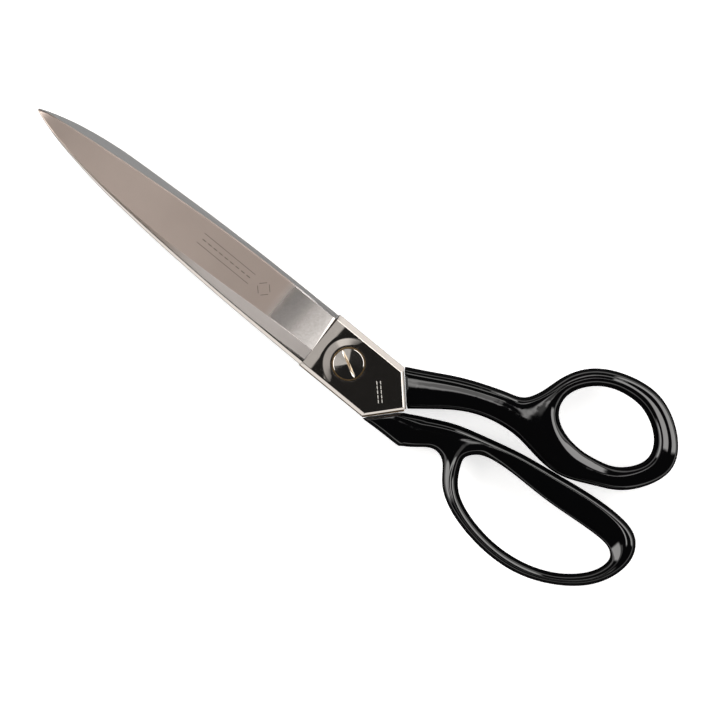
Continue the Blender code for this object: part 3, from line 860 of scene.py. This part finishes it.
def blade_dashes():
    """A running stitch between two seam lines, and a lozenge of four stitches."""
    dashes = [((-77.5 + 2.9 * k, 1.6), 0.0, 1.9, 0.42) for k in range(9)]
    dashes += [((-66, y), 0.0, 27.0, 0.26) for y in (-0.8, 4.0)]
    for turn in (45, 135, 225, 315):
        a = math.radians(turn)
        centre = (-46.2 + 2.4 * math.cos(a), 1.7 + 2.4 * math.sin(a))
        dashes.append((centre, a + math.pi / 2, 3.2, 0.3))
    return dashes


def plate_dashes():
    """Two short rows of running stitch beside the screw."""
    turn = math.radians(-46)
    c, s = math.cos(turn), math.sin(turn)
    dashes = []
    for offset in (0.0, 1.5):
        for k in range(5):
            step = (k - 2) * 1.9
            centre = (17.6 + c * step + s * offset, -0.4 + s * step - c * offset)
            dashes.append((centre, turn, 1.5, 0.36))
    return dashes


# ---------------------------------------------------------------- materials

def node(tree, kind, **settings):
    made = tree.nodes.new(kind)
    for key, value in settings.items():
        setattr(made, key, value)
    return made


def feed(tree, socket, value):
    """Gives a node input a number, a tuple or another node's output."""
    if hasattr(value, "links"):
        tree.links.new(value, socket)
    else:
        socket.default_value = value


def calc(tree, operation, a, b=0.0, c=0.0):
    made = node(tree, "ShaderNodeMath", operation=operation)
    for socket, value in zip(made.inputs, (a, b, c)):
        feed(tree, socket, value)
    return made.outputs[0]


def ramp(tree, value, low, high, to_low=0.0, to_high=1.0):
    """Smooth change from to_low to to_high while the value goes from low to high."""
    made = node(tree, "ShaderNodeMapRange", interpolation_type="SMOOTHSTEP")
    for socket, number in zip(made.inputs, (value, low, high, to_low, to_high)):
        feed(tree, socket, number)
    return made.outputs[0]


def mix_colour(tree, share, a, b):
    made = node(tree, "ShaderNodeMix", data_type="RGBA")
    feed(tree, made.inputs[0], share)
    feed(tree, made.inputs[6], a)
    feed(tree, made.inputs[7], b)
    return made.outputs[2]


def split(tree, vector):
    """The three axes of a vector."""
    axes = node(tree, "ShaderNodeSeparateXYZ")
    feed(tree, axes.inputs[0], vector)
    return axes.outputs


def millimetres(tree, stretch=(1, 1, 1)):
    """Object coordinates in millimetres, each axis times its stretch."""
    coordinates = node(tree, "ShaderNodeTexCoord")
    scale = node(tree, "ShaderNodeVectorMath", operation="MULTIPLY")
    feed(tree, scale.inputs[0], coordinates.outputs["Object"])
    scale.inputs[1].default_value = tuple(s / MM for s in stretch)
    return scale.outputs[0]


def noise(tree, vector, scale, detail=2.0, rough=0.5):
    made = node(tree, "ShaderNodeTexNoise")
    feed(tree, made.inputs["Vector"], vector)
    made.inputs["Scale"].default_value = scale
    made.inputs["Detail"].default_value = detail
    made.inputs["Roughness"].default_value = rough
    return made.outputs["Fac"]


def bump(tree, height, strength, distance):
    made = node(tree, "ShaderNodeBump")
    feed(tree, made.inputs["Strength"], strength)
    made.inputs["Distance"].default_value = distance * MM
    feed(tree, made.inputs["Height"], height)
    return made.outputs["Normal"]


def blank(name, metallic):
    mat = bpy.data.materials.new(name)
    mat.use_nodes = True
    shader = mat.node_tree.nodes["Principled BSDF"]
    shader.inputs["Metallic"].default_value = metallic
    return mat, mat.node_tree, shader


def cross_grain(tree):
    """Fine grinding marks across the blade."""
    return noise(tree, millimetres(tree, (5.0, 0.35, 0.35)), 1.0, 4.0, 0.65)


def blade_satin():
    """Ground face: satin with cross grain, finer and mottled where it runs out into the plate.

    Beside the step it has a painted highlight strip and a painted shadow line, both of which widen
    away from the crease.
    """
    mat, tree, shader = blank("blade_satin", 1.0)
    place_mm = millimetres(tree)
    axes = split(tree, place_mm)
    fine = ramp(tree, axes[0], -41.0, -34.0)
    grain = cross_grain(tree)
    satin = calc(tree, "MULTIPLY_ADD", grain, 0.12, 0.28)
    finer = ramp(tree, fine, 0.0, 1.0, 1.0, 0.6)
    feed(tree, shader.inputs["Roughness"], calc(tree, "MULTIPLY", satin, finer))
    cloud = noise(tree, place_mm, 0.07, 3.0)
    mottle = noise(tree, place_mm, 0.9, 5.0, 0.7)
    brushed = mix_colour(tree, cloud, (0.44, 0.365, 0.325, 1), (0.50, 0.415, 0.37, 1))
    speckle_and_painted_light = mix_colour(tree, mottle, (0.62, 0.58, 0.56, 1), (0.88, 0.83, 0.80, 1))
    dulled = mix_colour(tree, mottle, (0.36, 0.34, 0.33, 1), (0.64, 0.61, 0.59, 1))
    speckle_and_painted_light = mix_colour(tree, ramp(tree, axes[0], -26.0, -19.0), speckle_and_painted_light, dulled)
    # Painted highlight strip, then a painted shadow line, beside the step, widening away from the crease.
    into_step = calc(tree, "SUBTRACT", axes[0], STEP_TOP)
    past_crease = calc(tree, "SUBTRACT", axes[1], CREASE_AT_STEP)
    for widening, colour in ((0.125, (0.98, 0.94, 0.90, 1)), (0.055, (0.02, 0.015, 0.01, 1))):
        strip = calc(tree, "MULTIPLY_ADD", past_crease, widening, into_step)
        speckle_and_painted_light = mix_colour(tree, ramp(tree, strip, -0.1, 0.1), speckle_and_painted_light, colour)
    feed(tree, shader.inputs["Base Color"], mix_colour(tree, fine, brushed, speckle_and_painted_light))
    feed(tree, shader.inputs["Normal"], bump(tree, grain, 0.16, 0.05))
    return mat


def facet_satin():
    """Long facet beside the spine, brighter towards the plate, with a polished wedge below."""
    mat, tree, shader = blank("facet_satin", 1.0)
    axes = split(tree, millimetres(tree))
    bright = ramp(tree, axes[0], -95.0, -68.0)
    taper = calc(tree, "MULTIPLY", calc(tree, "ADD", axes[0], 45.0), -0.0414)
    into_wedge = calc(tree, "ADD", calc(tree, "ADD", axes[1], 11.2), taper)
    near_plate = ramp(tree, axes[0], -46.0, -42.0)
    wedge = calc(tree, "MULTIPLY", ramp(tree, into_wedge, 0.2, -0.2), near_plate)
    grain = cross_grain(tree)
    rough = calc(tree, "MULTIPLY_ADD", grain, 0.12, 0.26)
    drop = calc(tree, "SUBTRACT", 0.07, rough)
    feed(tree, shader.inputs["Roughness"], calc(tree, "MULTIPLY_ADD", drop, wedge, rough))
    far = mix_colour(tree, grain, (0.56, 0.47, 0.42, 1), (0.62, 0.52, 0.46, 1))
    near = mix_colour(tree, grain, (0.78, 0.72, 0.69, 1), (0.86, 0.80, 0.77, 1))
    feed(tree, shader.inputs["Base Color"], mix_colour(tree, bright, far, near))
    feed(tree, shader.inputs["Normal"], bump(tree, grain, 0.1, 0.05))
    return mat


def plate_nickel():
    """Mirror-polished nickel with a few faint smudges."""
    mat, tree, shader = blank("plate_nickel", 1.0)
    smudge = noise(tree, millimetres(tree), 0.35, 3.0)
    feed(tree, shader.inputs["Roughness"], calc(tree, "MULTIPLY_ADD", smudge, 0.03, 0.03))
    tint = mix_colour(tree, smudge, (0.60, 0.555, 0.515, 1), (0.65, 0.605, 0.565, 1))
    feed(tree, shader.inputs["Base Color"], tint)
    feed(tree, shader.inputs["Normal"], bump(tree, smudge, 0.02, 0.05))
    return mat


def inner_steel():
    """Inner faces, ground along the blade and left unplated: neutral grey satin."""
    mat, tree, shader = blank("ground_steel", 1.0)
    grain = noise(tree, millimetres(tree, (4.0, 0.5, 0.5)), 1.0, 4.0, 0.6)
    feed(tree, shader.inputs["Roughness"], calc(tree, "MULTIPLY_ADD", grain, 0.15, 0.3))
    grey = mix_colour(tree, grain, (0.42, 0.42, 0.425, 1), (0.50, 0.50, 0.505, 1))
    feed(tree, shader.inputs["Base Color"], grey)
    feed(tree, shader.inputs["Normal"], bump(tree, grain, 0.15, 0.05))
    return mat


def enamel_black():
    """Thick dipped enamel: a faint orange-peel ripple and a few rubbed places."""
    mat, tree, shader = blank("black_enamel", 0.0)
    place_mm = millimetres(tree)
    peel = noise(tree, place_mm, 0.3, 1.0)
    wave = noise(tree, place_mm, 0.085, 1.0)
    rubbed = noise(tree, place_mm, 0.06, 4.0)
    fine = noise(tree, place_mm, 3.0, 2.0)
    shade = mix_colour(tree, rubbed, (0.0007, 0.0007, 0.0009, 1), (0.0014, 0.0014, 0.0018, 1))
    feed(tree, shader.inputs["Base Color"], shade)
    worn = ramp(tree, rubbed, 0.55, 0.8, 0.035, 0.09)
    feed(tree, shader.inputs["Roughness"], calc(tree, "MULTIPLY_ADD", fine, 0.02, worn))
    shader.inputs["IOR"].default_value = 1.68
    swell = calc(tree, "MULTIPLY_ADD", wave, 5.0, peel)
    feed(tree, shader.inputs["Normal"], bump(tree, swell, 0.1, 0.3))
    return mat


def plated(name, dark, light, rough, spread):
    """Polished round hardware with faint turning marks."""
    mat, tree, shader = blank(name, 1.0)
    place_mm = millimetres(tree)
    cloud = noise(tree, place_mm, 0.5, 3.0)
    fine = noise(tree, place_mm, 4.0, 3.0)
    feed(tree, shader.inputs["Base Color"], mix_colour(tree, cloud, dark, light))
    feed(tree, shader.inputs["Roughness"], calc(tree, "MULTIPLY_ADD", fine, spread, rough))
    feed(tree, shader.inputs["Normal"], bump(tree, fine, 0.05, 0.03))
    return mat


def floor_paper():
    """White to the camera, dark where the polished parts mirror it."""
    mat, tree, shader = blank("pale_paper", 0.0)
    path = node(tree, "ShaderNodeLightPath")
    grain = noise(tree, millimetres(tree), 0.8, 3.0)
    white = mix_colour(tree, grain, (0.86, 0.86, 0.86, 1), (0.9, 0.9, 0.9, 1))
    seen = mix_colour(tree, path.outputs["Is Glossy Ray"], white, (0.03, 0.03, 0.03, 1))
    feed(tree, shader.inputs["Base Color"], seen)
    shader.inputs["Roughness"].default_value = 0.9
    shader.inputs["Specular IOR Level"].default_value = 0.1
    shader.inputs["Emission Color"].default_value = (1, 1, 1, 1)
    glow = calc(tree, "MULTIPLY", path.outputs["Is Camera Ray"], 0.65)
    feed(tree, shader.inputs["Emission Strength"], glow)
    return mat


def paint(obj, *materials):
    obj.data.materials.clear()
    for mat in materials:
        obj.data.materials.append(mat)


def steel_zone(x, y, z):
    """Finish of a place on the outside of a half."""
    corners = blade_corners(x)
    if x > STEP_TOP or y > corners[5][0] or (y < corners[2][0] and z > 0.3):
        return POLISHED
    return FACET_SIDE if y < corners[3][0] - 0.05 else GROUND_SIDE


def paint_half(obj, thumb, finishes):
    """Gives each face of a half its finish."""
    paint(obj, *finishes)
    side = 1 if thumb else -1
    inner = UPPER_INNER if thumb else LOWER_INNER
    for poly in obj.data.polygons:
        x, y, z = (c / MM for c in poly.center)
        y, z = (y - bend(x)) * side, (z - inner) * side
        if poly.normal.z * side < -0.9 and abs(z) < 0.2:
            poly.material_index = LAPPED if x > PLATE_WALL else INNER_SIDE
        elif poly.normal.x < -0.8 and PLATE_WALL - 0.3 < x < STEP_TOP + 0.02 and z > 1.5:
            # Painted shadow on the step's wall.
            poly.material_index = STEP_SHADE
        else:
            poly.material_index = steel_zone(x, y, z)


# ---------------------------------------------------------------- studio

# Panels of the studio dome: turn from and to (degrees, 0 where the picture's top lies, positive
# towards its left), angle from straight above from and to, softness of the edges, brightness.
PANELS = (
    (-100, -22, 42, 76, 2.5, 4.0),
    (-45, 32, 5, 12, 2, 2.4),
    (-10, 100, 3, 36, 2, 0.6),
    (60, 112, 38, 78, 5, 4.0),
    (-33, 13, 10, 25, 4.5, 1.45),
)
PICTURE_TOP = math.radians(129.35)
ROOF_LEVEL, HORIZON_LEVEL = 0.02, 1.2
FLOOR_HALF = 3.0
FLOOR_GAP = 0.0001
# Camera: how far above the plate, how wide its picture is there, the place it looks at, its turn.
CAMERA_DISTANCE = 1.2
CAMERA_FIELD = 0.2936
CAMERA_CENTRE = (0.00264, 0.00417)
CAMERA_TURN = math.radians(39.35)


def studio_dome():
    """Dark roof with soft panels of light above and beside the shears, and a bright horizon."""
    world = bpy.data.worlds.new("studio")
    bpy.context.scene.world = world
    world.use_nodes = True
    tree = world.node_tree
    background = tree.nodes["Background"]
    turned = node(tree, "ShaderNodeVectorRotate", rotation_type="Z_AXIS")
    feed(tree, turned.inputs["Vector"], node(tree, "ShaderNodeTexCoord").outputs["Generated"])
    turned.inputs["Angle"].default_value = -PICTURE_TOP
    axes = split(tree, turned.outputs[0])
    turn = calc(tree, "DEGREES", calc(tree, "ARCTAN2", axes[1], axes[0]))
    tilt = calc(tree, "DEGREES", calc(tree, "ARCCOSINE", axes[2]))
    light = ramp(tree, axes[2], 0.12, 0.22, HORIZON_LEVEL, ROOF_LEVEL)
    for turn_from, turn_to, tilt_from, tilt_to, soft, brightness in PANELS:
        panel = brightness
        for value, low, high in ((turn, turn_from, turn_to), (tilt, tilt_from, tilt_to)):
            panel = calc(tree, "MULTIPLY", panel, ramp(tree, value, low - soft, low + soft))
            panel = calc(tree, "MULTIPLY", panel, ramp(tree, value, high + soft, high - soft))
        light = calc(tree, "ADD", light, panel)
    feed(tree, background.inputs["Strength"], light)
    background.inputs["Color"].default_value = (1.0, 0.985, 0.965, 1)


def floor():
    z = cad_box[0].z - FLOOR_GAP
    corners = [(x * FLOOR_HALF, y * FLOOR_HALF, z) for x, y in ((-1, -1), (1, -1), (1, 1), (-1, 1))]
    mesh = bpy.data.meshes.new("floor")
    mesh.from_pydata(corners, [], [(0, 1, 2, 3)])
    obj = bpy.data.objects.new("floor", mesh)
    bpy.context.scene.collection.objects.link(obj)
    paint(obj, floor_paper())


def camera():
    """Straight above, turned so that the blades run from upper left to lower right."""
    data = bpy.data.cameras.new("camera")
    data.lens = data.sensor_width * CAMERA_DISTANCE / CAMERA_FIELD
    obj = bpy.data.objects.new("camera", data)
    bpy.context.scene.collection.objects.link(obj)
    obj.location = (*CAMERA_CENTRE, PLATE_TOP * MM + CAMERA_DISTANCE)
    obj.rotation_euler = (0, 0, CAMERA_TURN)
    bpy.context.scene.camera = obj


# ---------------------------------------------------------------- assembly

def add(obj, body, slot, *nodes):
    """Rides a piece on its body, in place of the named CAD nodes."""
    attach(obj, body)
    if nodes:
        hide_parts(*nodes)


def add_halves():
    ground = inner_steel()
    shadow = plated("step_shadow", (0.05, 0.035, 0.03, 1), (0.08, 0.06, 0.05, 1), 0.5, 0.2)
    lapped = plated("lapped_steel", (0.42, 0.28, 0.16, 1), (0.50, 0.35, 0.20, 1), 0.25, 0.15)
    finishes = (blade_satin(), facet_satin(), plate_nickel(), shadow, ground, lapped)
    for thumb, side in ((True, "thumb"), (False, "finger")):
        half = steel_half(side + "_steel", thumb)
        paint_half(half, thumb, finishes)
        add(half, side + "_half", "blade_steel", side + "_blade")
    black = enamel_black()
    for thumb, side in ((True, "thumb"), (False, "finger")):
        skin = enamel(side + "_enamel", thumb)
        paint(skin, black)
        add(skin, side + "_half", "handle_enamel", side + "_handle_enamel")
        bar = forged_bar(side + "_bar", thumb)
        paint(bar, ground)
        add(bar, side + "_half", "blade_steel")


def add_stitches():
    oxide = plated("etched_oxide", (0.16, 0.14, 0.12, 1), (0.24, 0.21, 0.18, 1), 0.4, 0.15)
    bright = plated("etched_bright", (0.86, 0.83, 0.78, 1), (0.94, 0.91, 0.86, 1), 0.55, 0.1)
    motifs = (("blade_stitches", blade_dashes(), oxide), ("plate_stitches", plate_dashes(), bright))
    for name, dashes, mat in motifs:
        marks = stitch_marks(name, dashes)
        paint(marks, mat)
        add(marks, "thumb_half", "blade_steel")


def add_hardware():
    screw = pivot_screw("slotted_screw")
    paint_screw(screw, plated("screw_nickel", (0.60, 0.57, 0.53, 1), (0.66, 0.62, 0.58, 1), 0.07, 0.06),
                plated("slot_nickel", (0.50, 0.45, 0.38, 1), (0.56, 0.50, 0.43, 1), 0.1, 0.06))
    add(screw, "screw_body", "screw_nickel", "pivot_screw")
    nut = hex_nut("hex_nut")
    paint(nut, plated("nut_nickel", (0.52, 0.51, 0.49, 1), (0.6, 0.59, 0.56, 1), 0.14, 0.1))
    add(nut, "nut_body", "nut_nickel", "pivot_nut")
    ring = head_washer("brass_washer")
    paint(ring, plated("washer_brass", (0.17, 0.11, 0.055, 1), (0.26, 0.18, 0.09, 1), 0.3, 0.15))
    add(ring, "thumb_half", "washer_brass", "head_washer")
    spring = tension_washer("spring_washer")
    paint(spring, plated("spring_steel", (0.32, 0.32, 0.33, 1), (0.42, 0.42, 0.43, 1), 0.25, 0.15))
    add(spring, "finger_half", "spring_steel", "tension_washer")


def main():
    add_halves()
    add_stitches()
    add_hardware()
    studio_dome()
    floor()
    camera()
    bpy.context.scene.view_settings.view_transform = "Standard"


main()
